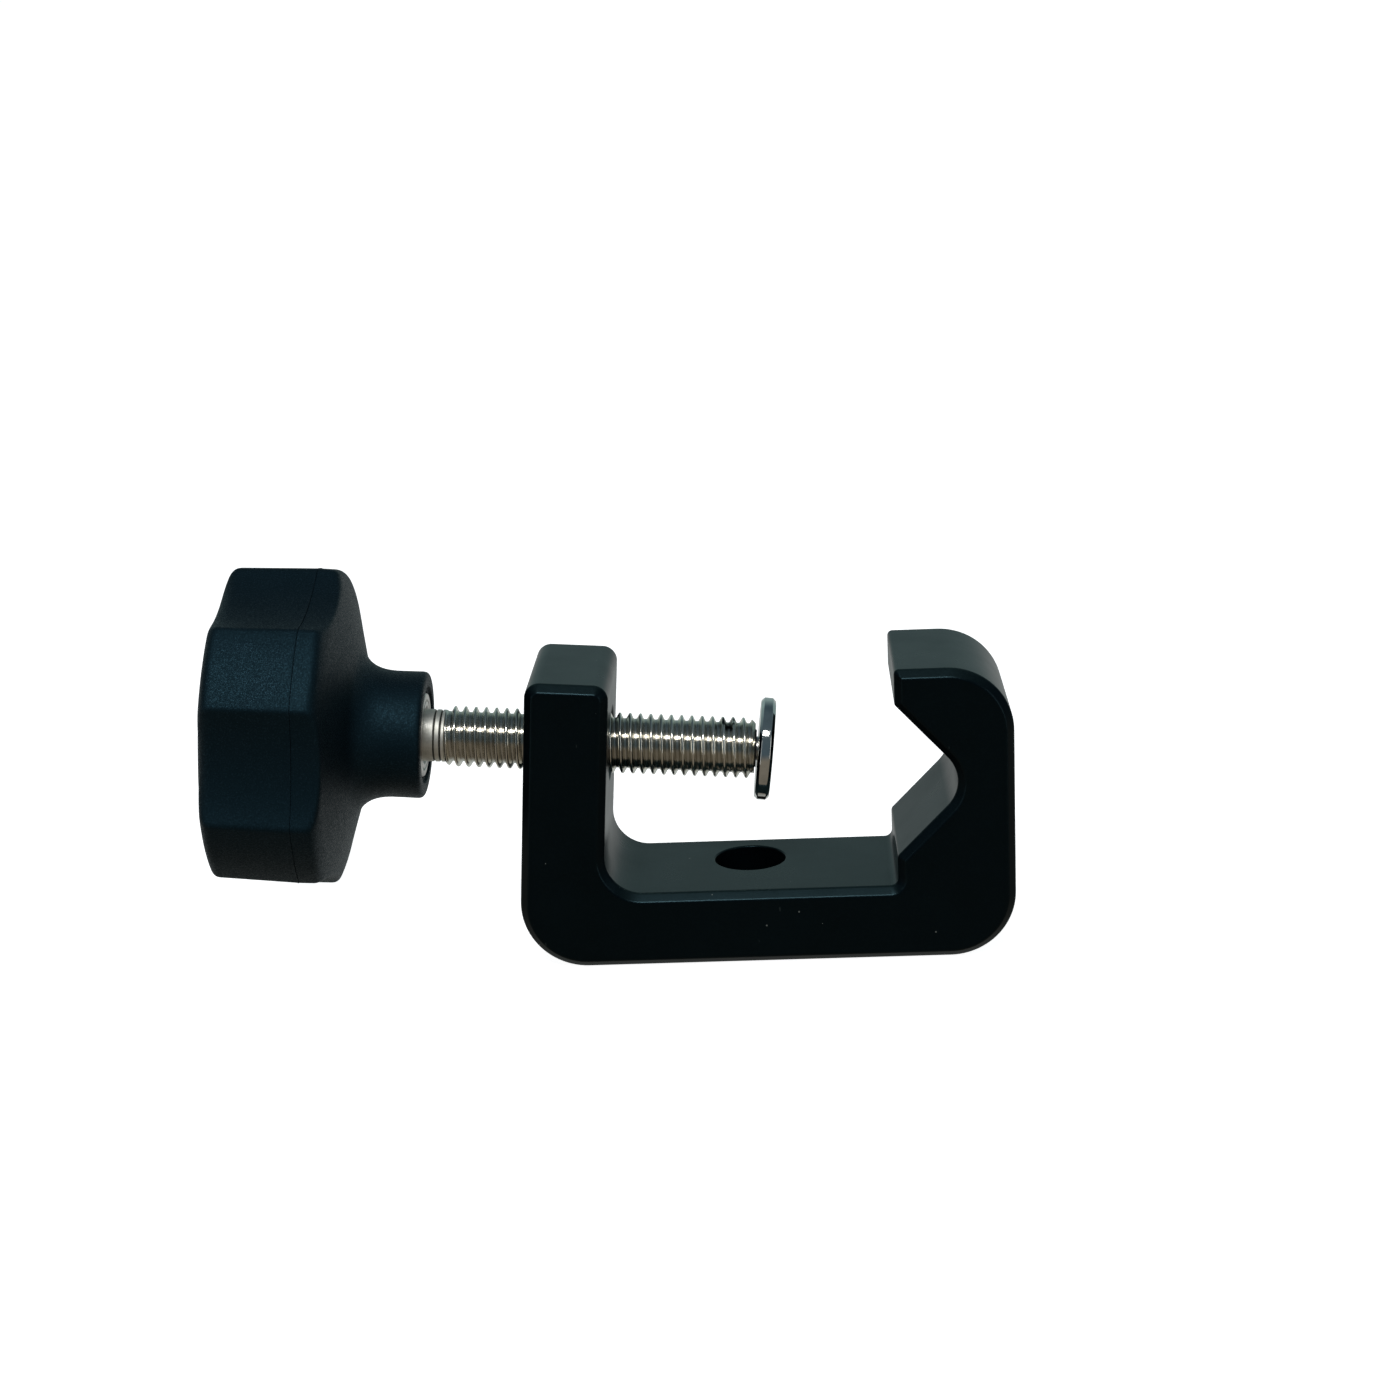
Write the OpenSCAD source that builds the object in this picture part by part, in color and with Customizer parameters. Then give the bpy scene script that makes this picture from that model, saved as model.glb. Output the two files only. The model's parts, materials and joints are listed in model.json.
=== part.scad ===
// Pipe clamp for stage and grip work: a C-shaped frame with a V jaw, and a hand screw with a
// five-lobe knob and a swivelling pressure pad. Millimetres, +Z up. The origin is the axis of
// the mounting hole at the frame's bottom face, and the screw points towards +X.

/* [Frame] */
// Length of the frame along X
frame_length = 76.2; // [74:0.1:84]
// Width of the frame along Y
frame_width = 25.4; // [22:0.1:32]
// Height of the hook above the base
hook_height = 45.6; // [44:0.1:50]
// Thickness of the floor between leg and jaw
floor_thickness = 11.6; // [10:0.1:12.5]
// Thickness of the leg that carries the screw
leg_thickness = 12.6; // [11:0.1:14]
// Length of the leg, measured along its slope
leg_length = 45.6; // [44:0.1:48]
// Lean of the leg towards the jaw, in degrees
leg_lean = 4.4; // [0:0.1:6]
// Radius of the large outer corners
outer_radius = 10; // [6:0.5:11]
// Size of the bevel round the front and back faces
bevel = 1.2; // [0.6:0.1:1.5]

/* [Jaw] */
// Distance from the frame's outer left corner to the hook tip
jaw_reach = 58.4; // [56:0.1:60]
// Height of the edge where the V meets the hook tip
jaw_top = 40.1; // [39:0.1:41]
// Height of the edge where the V meets the lip
jaw_bottom = 16.3; // [15:0.1:17]
// Slope of the V's upper flank, in degrees
jaw_upper_slope = 47.3; // [44:0.1:50]
// Slope of the V's lower flank, in degrees
jaw_lower_slope = 45.5; // [44:0.1:50]
// Radius in the bottom of the V
jaw_radius = 5.5; // [4:0.5:7]

/* [Mounting hole] */
// Diameter of the hole through the floor
hole_d = 11; // [9:0.5:12]
// Distance of the hole's axis from the frame's outer left corner
hole_x = 35.8; // [30:0.1:42]
// Offset of the hole's axis behind the frame's middle plane
hole_offset = 3; // [0:0.1:4]
// Chamfer at the hole's upper end
hole_chamfer = 0.3; // [0.2:0.1:0.5]

/* [Screw] */
// Outside diameter of the thread (3/8-16 UNC)
thread_d = 9.36; // [9.25:0.01:9.49]
// Distance of the screw's axis from the base, along the leg
screw_height = 33.3; // [31:0.1:35]
// Distance that the screw end stands out of the leg's outer face
screw_reach = 34.8; // [20:0.1:50]
// Diameter of the plain shank next to the knob
shank_d = 8.1; // [7.5:0.1:8.2]

/* [Knob] */
// Diameter over the lobes
knob_d = 50; // [45:0.5:52]
// Length from the hub's end to the crown
knob_length = 33; // [31:0.1:36]
// Diameter of the hub
hub_d = 19.6; // [18:0.1:21]
// Turn of the knob about its axis, in degrees
knob_turn = 38; // [0:1:72]

/* [Pad] */
// Diameter of the pressure pad
pad_d = 15.8; // [14:0.1:17]
// Thickness of the pressure pad
pad_thickness = 2.3; // [2.2:0.1:3]

/* [Hidden] */
$fn = 96;
bevel_step = 6;                   // turn of the bevel from one facet to the next, in degrees
past = 0.3;                       // how far a cutting tool runs past the face that it cuts
corner_proud = 0.002;             // makes a rounded corner cross its faces instead of grazing them

// --- screw and fits ---
thread_pitch = 1.5875;            // 16 threads to the inch
thread_depth = 0.86;
crest_flat = 0.2;
root_flat = 0.35;
running_gap = 0.06;               // radial clearance of a turning fit
thread_start = -11.54;            // first full crest, measured from the leg's outer face
shank_end = -13.1;
hub_end = -15.9;
end_chamfer = 0.8;
countersink_d = 11.9;

// --- knob ---
lobe_count = 5;
crown_edge = 2.2;                 // rounding between the lobes and the crown
shoulder_edge = 2.4;              // rounding between the lobes and the back of the knob
shoulder_height = 13;             // the lobes start this far from the hub's end
crown_steps = 8;                  // steps in the crown's curve
hub_fillet = 3;
hub_edge = 1;
side_draft = 0.6;                 // the side is this much smaller at the crown
back_slope = 14.7;                // slope of the knob's back, in degrees
crown_rise = 1.8;                 // the crown stands this far above its edge
scallop_depth = 3;
scallop_radius = 30;
scallop_start = 9.3;              // the valleys are cut from this far from the hub's end
bush_flange_d = 13.8;
bush_flange_t = 1.6;
bush_d = 11.5;
bush_length = 22;
bush_floor = 1;                   // closed end of the bush
recess_d = 15;
recess_depth = 0.5;

// --- pad and its screw ---
pad_chamfer = 0.5;
washer_t = 0.35;
washer_d = 6.2;
pad_gap = 0.4;                    // from the screw's end to the pad
shoulder_d = 4;
pad_thread_d = 2.5;
pad_thread_length = 6;
pad_head_d = 6.6;
pad_head_h = 1.3;
pad_head_sunk = 0.15;
slot_width = 0.8;
slot_depth = 0.6;
pad_head_gap = 0.15;              // room round the head in the pad's recess

// Point at distance s from the leg's outer face and height h along the leg
function on_leg(s, h) = [
    s * cos(leg_lean) + h * sin(leg_lean),
    -s * sin(leg_lean) + h * cos(leg_lean)
];

function unit(v) = v / norm(v);
function cross2(a, b) = a[0] * b[1] - a[1] * b[0];
function arc(centre, r, from, to, steps = 10) = [
    for (i = [0 : steps]) let (a = from + (to - from) * i / steps) centre + r * [cos(a), sin(a)]
];

// --- outline of the frame: [x, z, radius] of each corner, counter-clockwise seen from the front ---
jaw_depth = (jaw_top - jaw_bottom) / (tan(jaw_upper_slope) + tan(jaw_lower_slope));
jaw_apex = [jaw_reach + jaw_depth, jaw_top - jaw_depth * tan(jaw_upper_slope)];
leg_inner_h = (floor_thickness + leg_thickness * sin(leg_lean)) / cos(leg_lean);
leg_foot = on_leg(leg_thickness, leg_inner_h);
leg_top_inner = on_leg(leg_thickness, leg_length);
leg_top_outer = on_leg(0, leg_length);
CORNERS = [
    [0, 0, outer_radius],
    [frame_length, 0, outer_radius],
    [frame_length, hook_height, outer_radius],
    [jaw_reach, hook_height, 0.8],
    [jaw_reach, jaw_top, 0.8],
    [jaw_apex[0], jaw_apex[1], jaw_radius],
    [jaw_reach, jaw_bottom, 0.8],
    [jaw_reach, floor_thickness, 1.2],
    [leg_foot[0], leg_foot[1], 5.7],
    [leg_top_inner[0], leg_top_inner[1], 2.3],
    [leg_top_outer[0], leg_top_outer[1], 2.3]
];

// What each corner needs: its point, the directions to its neighbours, and its rounding
corner_count = len(CORNERS);
function corner(i) = [CORNERS[i][0], CORNERS[i][1]];
function radius(i) = CORNERS[i][2];
function back_way(i) = unit(corner((i + corner_count - 1) % corner_count) - corner(i));
function on_way(i) = unit(corner((i + 1) % corner_count) - corner(i));
function half_angle(i) = acos(back_way(i) * on_way(i)) / 2;
function tangent_in(i) = corner(i) + back_way(i) * radius(i) / tan(half_angle(i));
function tangent_out(i) = corner(i) + on_way(i) * radius(i) / tan(half_angle(i));
function centre(i) = corner(i) + unit(back_way(i) + on_way(i)) * radius(i) / sin(half_angle(i));
function turning(i) = 180 - 2 * half_angle(i);
function convex(i) = cross2(-back_way(i), on_way(i)) > 0;
function heading(v) = atan2(v[1], v[0]);

// What the rounding of an outer corner takes away, a little larger than it needs to be
module corner_sliver(i) {
    c = centre(i);
    grow = 1.2;
    difference() {
        polygon([for (p = [c, tangent_in(i), corner(i), tangent_out(i)]) c + (p - c) * grow]);
        translate(c) circle(r = radius(i) + corner_proud);
    }
}

module across(extra = 0) {
    translate([0, 0, -frame_width / 2 - extra]) linear_extrude(frame_width + 2 * extra) children();
}

// The frame before it is bevelled, lying on its side: inner corners start as flats, and cylinders
// hollow them out
module frame_block() {
    difference() {
        across() polygon([for (i = [0 : corner_count - 1])
            each convex(i) ? [corner(i)] : [tangent_in(i), tangent_out(i)]]);
        for (i = [0 : corner_count - 1]) across(past) {
            if (convex(i)) corner_sliver(i);
            else translate(centre(i)) circle(r = radius(i));
        }
    }
}

// Points along corner i with the way that each looks out of the frame: a small outer corner is
// mitred, and every other corner follows its arc
function outline_at(i) = convex(i) && radius(i) < bevel + past
    ? [[corner(i), -unit(back_way(i) + on_way(i)) / sin(half_angle(i))]]
    : let (
        sign = convex(i) ? 1 : -1,
        from = heading(tangent_in(i) - centre(i)),
        steps = ceil(turning(i) / bevel_step)
    ) [for (k = [0 : steps]) let (a = from + sign * turning(i) * k / steps, way = [cos(a), sin(a)])
        [centre(i) + radius(i) * way, sign * way]];

// Three-sided ring that cuts the bevel round the face at +Z
module bevel_ring() {
    face = frame_width / 2;
    path = [for (i = [0 : corner_count - 1]) each outline_at(i)];
    count = len(path);
    polyhedron(
        points = [for (p = path, reach = [[past, past], [-bevel - past, past], [past, -bevel - past]])
            let (q = p[0] + reach[0] * p[1]) [q[0], q[1], face + reach[1]]],
        faces = [for (k = [0 : count - 1], e = [0 : 2]) let (next = (k + 1) % count, f = (e + 1) % 3)
            [3 * k + e, 3 * k + f, 3 * next + f, 3 * next + e]]
    );
}

// Puts a part drawn along +Z on the screw's axis, with Z = 0 at the leg's outer face
module on_screw_axis() {
    foot = on_leg(0, screw_height);
    translate([foot[0] - hole_x, -hole_offset, foot[1]]) rotate([0, 90 + leg_lean, 0]) children();
}

module bore_edge(d, chamfer) {
    cylinder(d1 = d + 2 * (chamfer + past), d2 = d, h = chamfer + past);
}

module clamp_frame() color([0.13, 0.14, 0.15]) difference() {
    translate([-hole_x, -hole_offset, 0]) rotate([90, 0, 0]) difference() {
        frame_block();
        for (side = [0, 1]) mirror([0, 0, side]) bevel_ring();
    }
    translate([0, 0, -past]) cylinder(d = hole_d, h = floor_thickness + 2 * past);
    translate([0, 0, floor_thickness + past]) mirror([0, 0, 1]) bore_edge(hole_d, hole_chamfer);
    on_screw_axis() {
        bore_d = thread_d + 2 * running_gap;
        sink = (countersink_d - bore_d) / 2;
        translate([0, 0, -past]) cylinder(d = bore_d, h = leg_thickness + 2 * past);
        translate([0, 0, -past]) bore_edge(bore_d, sink);
        translate([0, 0, leg_thickness + past]) mirror([0, 0, 1]) bore_edge(bore_d, sink);
    }
}

// Thread drawn as parallel V grooves of the true pitch and depth
module spindle() color([0.72, 0.71, 0.66]) {
    crest = thread_d / 2;
    root = crest - thread_depth;
    grooves = floor((screw_reach - thread_start) / thread_pitch);
    flank = (thread_pitch - crest_flat - root_flat) / 2;
    tip = crest - end_chamfer;
    start = hub_end - bush_length + bush_floor;
    on_screw_axis() difference() {
        rotate_extrude() polygon(concat(
            [[0, start], [shank_d / 2, start], [shank_d / 2, shank_end]],
            [[root, shank_end], [root, thread_start - flank - crest_flat / 2]],
            [for (i = [0 : grooves - 1], step = [0 : 3]) let (z = thread_start + i * thread_pitch)
                step == 0 ? [crest, z - crest_flat / 2]
                : step == 1 ? [crest, z + crest_flat / 2]
                : step == 2 ? [root, z + crest_flat / 2 + flank]
                : [root, z + crest_flat / 2 + flank + root_flat]],
            [[tip, screw_reach - (tip - root)], [tip, screw_reach], [0, screw_reach]]
        ));
        translate([0, 0, screw_reach - pad_thread_length])
            cylinder(d = pad_thread_d, h = pad_thread_length + past);
    }
}

// Half section of the knob, drawn with Z measured back from the hub's end
module knob_section() {
    side = knob_d / 2;
    hub = hub_d / 2;
    shoulder_c = [side - shoulder_edge, shoulder_height + shoulder_edge];
    both = shoulder_edge + hub_fillet;
    run = shoulder_c[0] - hub - hub_fillet + both * sin(back_slope);
    fillet_c = [hub + hub_fillet, shoulder_c[1] - both * cos(back_slope) - run * tan(back_slope)];
    crown_z = knob_length - crown_rise;
    crown_c = [side - side_draft - crown_edge, crown_z - crown_edge];
    crown_radius = (crown_c[0] * crown_c[0] + crown_rise * crown_rise) / (2 * crown_rise);
    polygon(concat(
        [[0, 0], [hub - hub_edge, 0]],
        arc([hub - hub_edge, hub_edge], hub_edge, -90, 0, 6),
        arc(fillet_c, hub_fillet, 180, 90 + back_slope, 8),
        arc(shoulder_c, shoulder_edge, -90 + back_slope, 0, 8),
        arc(crown_c, crown_edge, 2, 80, 8),
        [for (k = [crown_steps : -1 : 0]) let (r = crown_c[0] * k / crown_steps)
            [r, knob_length - crown_radius + sqrt(crown_radius * crown_radius - r * r)]]
    ));
}

module knob_body() color([0.1, 0.12, 0.15]) on_screw_axis() difference() {
    translate([0, 0, hub_end]) mirror([0, 0, 1]) rotate_extrude() knob_section();
    for (i = [0 : lobe_count - 1]) rotate(180 + 90 - knob_turn + 180 / lobe_count + i * 360 / lobe_count)
        translate([knob_d / 2 - scallop_depth + scallop_radius, 0, hub_end - knob_length - past])
            cylinder(r = scallop_radius, h = knob_length + past - scallop_start);
    translate([0, 0, hub_end - recess_depth]) cylinder(d = recess_d, h = recess_depth + past);
    translate([0, 0, hub_end - bush_flange_t]) cylinder(d = bush_flange_d, h = bush_flange_t + past);
    translate([0, 0, hub_end - bush_length]) cylinder(d = bush_d, h = bush_length + past);
}

module knob_bush() color([0.75, 0.74, 0.7]) on_screw_axis() difference() {
    union() {
        translate([0, 0, hub_end - bush_flange_t]) cylinder(d = bush_flange_d, h = bush_flange_t);
        translate([0, 0, hub_end - bush_length]) cylinder(d = bush_d, h = bush_length);
    }
    translate([0, 0, hub_end - bush_length + bush_floor]) cylinder(d = shank_d, h = bush_length + past);
}

module pressure_pad() color([0.8, 0.8, 0.8]) on_screw_axis() {
    back = screw_reach + pad_gap;
    front = back + pad_thickness;
    bore_d = shoulder_d + 2 * running_gap;
    recess_d = pad_head_d + 2 * pad_head_gap;
    face_d = pad_d - 2 * pad_chamfer;
    difference() {
        union() {
            translate([0, 0, back]) cylinder(d1 = face_d, d2 = pad_d, h = pad_chamfer);
            translate([0, 0, back + pad_chamfer]) cylinder(d = pad_d, h = pad_thickness - 2 * pad_chamfer);
            translate([0, 0, front - pad_chamfer]) cylinder(d1 = pad_d, d2 = face_d, h = pad_chamfer);
        }
        translate([0, 0, back - past]) cylinder(d = bore_d, h = pad_thickness + 2 * past);
        translate([0, 0, front - pad_head_sunk - pad_head_h - pad_head_gap])
            cylinder(d1 = bore_d, d2 = recess_d, h = pad_head_h + pad_head_gap);
        translate([0, 0, front - pad_head_sunk]) cylinder(d = recess_d, h = pad_head_sunk + past);
    }
}

module pad_washer() color([0.06, 0.06, 0.06]) on_screw_axis() translate([0, 0, screw_reach]) difference() {
    cylinder(d = washer_d, h = washer_t);
    translate([0, 0, -past]) cylinder(d = shoulder_d, h = washer_t + 2 * past);
}

module pad_screw() color([0.6, 0.6, 0.58]) on_screw_axis() {
    front = screw_reach + pad_gap + pad_thickness - pad_head_sunk;
    translate([0, 0, screw_reach - pad_thread_length]) cylinder(d = pad_thread_d, h = pad_thread_length);
    translate([0, 0, screw_reach]) cylinder(d = shoulder_d, h = front - pad_head_h - screw_reach);
    difference() {
        translate([0, 0, front - pad_head_h]) cylinder(d1 = shoulder_d, d2 = pad_head_d, h = pad_head_h);
        translate([-pad_head_d, -slot_width / 2, front - slot_depth])
            cube([2 * pad_head_d, slot_width, slot_depth + past]);
    }
}

clamp_frame();
spindle();
knob_body();
knob_bush();
pressure_pad();
pad_washer();
pad_screw();
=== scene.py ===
import json
import math

import bmesh
import bpy
import numpy as np
from mathutils import Matrix, Vector


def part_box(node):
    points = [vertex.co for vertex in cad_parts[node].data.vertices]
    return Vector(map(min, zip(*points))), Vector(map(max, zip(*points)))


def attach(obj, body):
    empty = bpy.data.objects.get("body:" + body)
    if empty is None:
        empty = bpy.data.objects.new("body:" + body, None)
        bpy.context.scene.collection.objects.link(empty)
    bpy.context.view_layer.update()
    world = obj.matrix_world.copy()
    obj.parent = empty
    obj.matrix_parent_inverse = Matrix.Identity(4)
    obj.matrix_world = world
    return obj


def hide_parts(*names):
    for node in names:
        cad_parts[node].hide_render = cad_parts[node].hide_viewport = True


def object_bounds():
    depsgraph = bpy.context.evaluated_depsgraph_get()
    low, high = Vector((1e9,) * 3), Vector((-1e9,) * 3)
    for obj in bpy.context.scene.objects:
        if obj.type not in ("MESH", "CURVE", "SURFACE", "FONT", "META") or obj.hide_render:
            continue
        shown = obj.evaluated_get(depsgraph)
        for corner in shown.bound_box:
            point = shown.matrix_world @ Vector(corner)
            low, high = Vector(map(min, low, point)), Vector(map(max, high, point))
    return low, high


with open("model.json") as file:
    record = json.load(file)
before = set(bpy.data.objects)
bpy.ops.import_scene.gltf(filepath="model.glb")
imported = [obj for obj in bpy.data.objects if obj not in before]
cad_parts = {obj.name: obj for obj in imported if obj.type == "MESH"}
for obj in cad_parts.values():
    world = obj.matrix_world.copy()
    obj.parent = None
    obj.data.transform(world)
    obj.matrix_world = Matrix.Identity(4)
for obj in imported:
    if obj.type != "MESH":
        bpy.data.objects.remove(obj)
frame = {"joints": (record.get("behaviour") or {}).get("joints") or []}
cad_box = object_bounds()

MM = 0.001

# Frame, as in the CAD model (millimetres, degrees)
FRAME_LENGTH = 76.2
FRAME_WIDTH = 25.4
HOOK_HEIGHT = 45.6
FLOOR_THICKNESS = 11.6
LEG_THICKNESS = 12.6
LEG_LENGTH = 45.6
LEG_LEAN = math.radians(4.4)
BEVEL = 1.2
BEVEL_SOFTENING = 0.28
JAW_REACH = 58.4
JAW_TOP = 40.1
JAW_BOTTOM = 16.3
JAW_UPPER_SLOPE = math.radians(47.3)
JAW_LOWER_SLOPE = math.radians(45.5)
HOLE_RADIUS = 5.5
HOLE_EDGE = 0.32

# Screw, distances measured along its axis from the leg's outer face
PAD_FRONT = 37.5
PAD_THICKNESS = 2.3
PAD_RADIUS = 7.9
PAD_TILT = math.radians(-2.4)
SCREW_END = 34.8
HUB_END = -15.9
SHANK_END = -13.1
SHANK_RADIUS = 4.05
THREAD_START = -11.54
THREAD_PITCH = 1.5875
CREST_RADIUS = 4.68
ROOT_RADIUS = 3.84
BORE_RADIUS = 4.74
COUNTERSINK_RADIUS = 5.95
THREAD_CLEARANCE = 0.07
# Depth of the unthreaded start of the bore, which the shank runs into when the clamp is closed
SHANK_RELIEF = 2.8
TIP_CHAMFER = 0.8
# (position, depth) of the turned grooves on the shank
SHANK_GROOVES = ((-14.5, 0.2), (-13.55, 0.22))
BUSH_RADIUS = 5.74
BUSH_DEPTH = 20.0
BUSH_FLANGE_RADIUS = 6.5
# Where a clump of dirt sits in the thread, in the screw's local frame
GRIME_PLACE = (4.3, 0.8, 30.5)

# Knob, heights measured from the hub's end towards the crown
LOBES = 5
LOBE_ANGLE = math.radians(52)
RIDGE_RADIUS = 25.0
FACET_CURVE = 35.0
VALLEY_CENTRE = 52.2
VALLEY_CURVE = 30.0
KNOB_LENGTH = 33.0
CROWN_EDGE_HEIGHT = 31.2
CROWN_CORNER = 2.2
HUB_RADIUS = 9.8
PARTING_HEIGHT = 17.1

# The pad's countersink and the screw in it
PAD_HOLE_RADIUS = 2.06
PAD_SCREW_NECK = 1.85
HEAD_SEAT_DEPTH = 1.6
HEAD_SUNK = 0.15


# --- placing -------------------------------------------------------------------------------

def named(items, name):
    return next(item for item in items if item["name"] == name)


turn = named(frame["joints"], "screw_turn")
along = Vector(turn["axis"]).normalized()
toward_camera = Vector((0, -1, 0))
up = toward_camera.cross(along)
screw_foot = Vector(turn["pos_m"]) - along * PAD_FRONT * MM

# Local X is up, local Y is towards the camera and local Z runs along the screw
SCREW_FRAME = Matrix.Translation(screw_foot) @ Matrix((up, toward_camera, along)).transposed().to_4x4()

frame_low, frame_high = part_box("clamp_frame")
frame_middle_y = (frame_low.y + frame_high.y) / 2
# Local X and Y are the frame's outline, and local Z points towards the camera
FRAME_SIDE = Matrix.Translation((frame_high.x - FRAME_LENGTH * MM, frame_middle_y, 0)) @ Matrix.Rotation(
    math.pi / 2, 4, "X"
)


# --- mesh helpers --------------------------------------------------------------------------

def make_object(name, points, faces, place):
    """A mesh from points in millimetres, in the local frame of place."""
    mesh = bpy.data.meshes.new(name)
    mesh.from_pydata([tuple(c * MM for c in p) for p in points], [], faces)
    mesh.validate()
    obj = bpy.data.objects.new(name, mesh)
    bpy.context.scene.collection.objects.link(obj)
    obj.matrix_world = place
    return obj


def apply_modifiers(obj):
    bpy.context.view_layer.update()
    evaluated = obj.evaluated_get(bpy.context.evaluated_depsgraph_get())
    mesh = bpy.data.meshes.new_from_object(evaluated)
    obj.modifiers.clear()
    obj.data = mesh


def soften_shading(obj, sharp_degrees=40):
    obj.data.shade_smooth()
    obj.data.set_sharp_from_angle(angle=math.radians(sharp_degrees))
    weighted = obj.modifiers.new("weighted_normals", "WEIGHTED_NORMAL")
    weighted.keep_sharp = True
    apply_modifiers(obj)


def cut(obj, cutters):
    for cutter in cutters:
        boolean = obj.modifiers.new("cut", "BOOLEAN")
        boolean.operation = "DIFFERENCE"
        boolean.solver = "EXACT"
        boolean.object = cutter
    apply_modifiers(obj)
    for cutter in cutters:
        bpy.data.objects.remove(cutter)


def lathe(name, profile, place, segments=128):
    """Revolves (radius, height) points, which run from the axis back to the axis."""
    points, faces, rings = [], [], []
    for radius, height in profile:
        if radius < 1e-6:
            rings.append([len(points)])
            points.append((0, 0, height))
        else:
            rings.append(list(range(len(points), len(points) + segments)))
            for k in range(segments):
                a = 2 * math.pi * k / segments
                points.append((radius * math.cos(a), radius * math.sin(a), height))
    closed = len(rings[0]) > 1
    pairs = list(zip(rings, rings[1:])) + ([(rings[-1], rings[0])] if closed else [])
    for low, high in pairs:
        for k in range(segments):
            n = (k + 1) % segments
            if len(low) == 1 and len(high) > 1:
                faces.append((low[0], high[n], high[k]))
            elif len(high) == 1 and len(low) > 1:
                faces.append((low[k], low[n], high[0]))
            elif len(low) > 1:
                faces.append((low[k], low[n], high[n], high[k]))
    return make_object(name, points, faces, place)


def soft_corners(profile, softening, steps=5):
    """Rounds the corners of a (radius, height) profile; softening is one size, or one per point."""
    sizes = softening if isinstance(softening, (list, tuple)) else [softening] * len(profile)
    rounded = []
    last = len(profile) - 1
    for i, point in enumerate(profile):
        corner = np.array(point, float)
        if i in (0, last) or sizes[i] <= 0:
            rounded.append(tuple(corner))
            continue
        before = np.array(profile[i - 1], float) - corner
        after = np.array(profile[i + 1], float) - corner
        size = min(sizes[i], 0.45 * np.linalg.norm(before), 0.45 * np.linalg.norm(after))
        start = corner + before / np.linalg.norm(before) * size
        end = corner + after / np.linalg.norm(after) * size
        for k in range(steps + 1):
            t = k / steps
            rounded.append(tuple((1 - t) ** 2 * start + 2 * t * (1 - t) * corner + t ** 2 * end))
    return rounded


# --- frame ---------------------------------------------------------------------------------

def on_leg(s, h):
    return np.array([
        s * math.cos(LEG_LEAN) + h * math.sin(LEG_LEAN),
        -s * math.sin(LEG_LEAN) + h * math.cos(LEG_LEAN),
    ])


def frame_corners():
    """(point, radius) of each corner of the outline, counter-clockwise seen from the front."""
    depth = (JAW_TOP - JAW_BOTTOM) / (math.tan(JAW_UPPER_SLOPE) + math.tan(JAW_LOWER_SLOPE))
    inner_height = (FLOOR_THICKNESS + LEG_THICKNESS * math.sin(LEG_LEAN)) / math.cos(LEG_LEAN)
    return [
        (np.array([0, 0]), 10),
        (np.array([FRAME_LENGTH, 0]), 10),
        (np.array([FRAME_LENGTH, HOOK_HEIGHT]), 10),
        (np.array([JAW_REACH, HOOK_HEIGHT]), 0.8),
        (np.array([JAW_REACH, JAW_TOP]), 0.8),
        (np.array([JAW_REACH + depth, JAW_TOP - depth * math.tan(JAW_UPPER_SLOPE)]), 5.5),
        (np.array([JAW_REACH, JAW_BOTTOM]), 0.8),
        (np.array([JAW_REACH, FLOOR_THICKNESS]), 1.2),
        (on_leg(LEG_THICKNESS, inner_height), 5.7),
        (on_leg(LEG_THICKNESS, LEG_LENGTH), 2.3),
        (on_leg(0, LEG_LENGTH), 2.3),
    ]


def unit(v):
    return v / np.linalg.norm(v)


def outline(inset):
    """The frame's outline moved inwards by inset, with the same points for every inset."""
    corners = frame_corners()
    points = []
    for i, (corner, radius) in enumerate(corners):
        back = unit(corners[i - 1][0] - corner)
        on = unit(corners[(i + 1) % len(corners)][0] - corner)
        bisector = unit(back + on)
        half = math.acos(float(back @ on)) / 2
        convex = (-back[0] * on[1] + back[1] * on[0]) > 0
        sign = 1 if convex else -1
        moved = corner + sign * bisector * inset / math.sin(half)
        round_radius = max(radius - sign * inset, 0.06)
        centre = moved + bisector * round_radius / math.sin(half)
        first = moved + back * round_radius / math.tan(half) - centre
        start = math.atan2(first[1], first[0])
        steps = max(6, round(math.degrees(math.pi - 2 * half) / 4))
        for k in range(steps + 1):
            a = start + sign * (math.pi - 2 * half) * k / steps
            points.append(centre + round_radius * np.array([math.cos(a), math.sin(a)]))
    return points


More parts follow.
